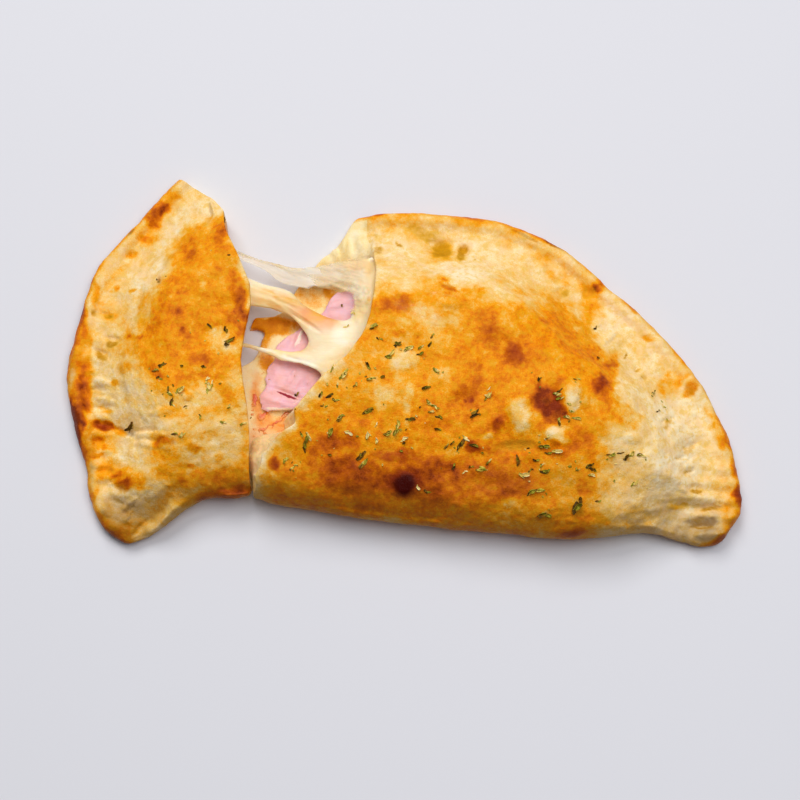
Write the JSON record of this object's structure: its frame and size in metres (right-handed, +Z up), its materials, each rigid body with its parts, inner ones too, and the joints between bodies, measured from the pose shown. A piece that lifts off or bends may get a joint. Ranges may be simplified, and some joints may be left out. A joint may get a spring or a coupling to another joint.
{
  "type": "calzone",
  "caption": "Baked folded pizza with a crimped rim, a slice pulled away at one end, and ham under strings of melted cheese in the gap.",
  "frame": {"origin": "middle of the bottom of the bounding box, on the flat underside", "axes": "+X along the length from the pulled slice to the right-hand corner, +Y from the folded side to the crimped rim, +Z up"},
  "size_m": [0.3055, 0.1733, 0.0362],
  "materials": {
    "crust": "baked dough, golden with browned patches and a slight oil sheen",
    "cheese": "melted mozzarella, smooth and slightly glossy",
    "ham": "cooked ham, moist",
    "herbs": "dried oregano flakes",
    "sauce": "thin tomato sauce, wet"
  },
  "bodies": {
    "root": {"crust_main": "crust", "crust_slice": "crust", "cheese": "cheese", "ham_main": "ham", "ham_slice": "ham"}
  },
  "joints": []
}
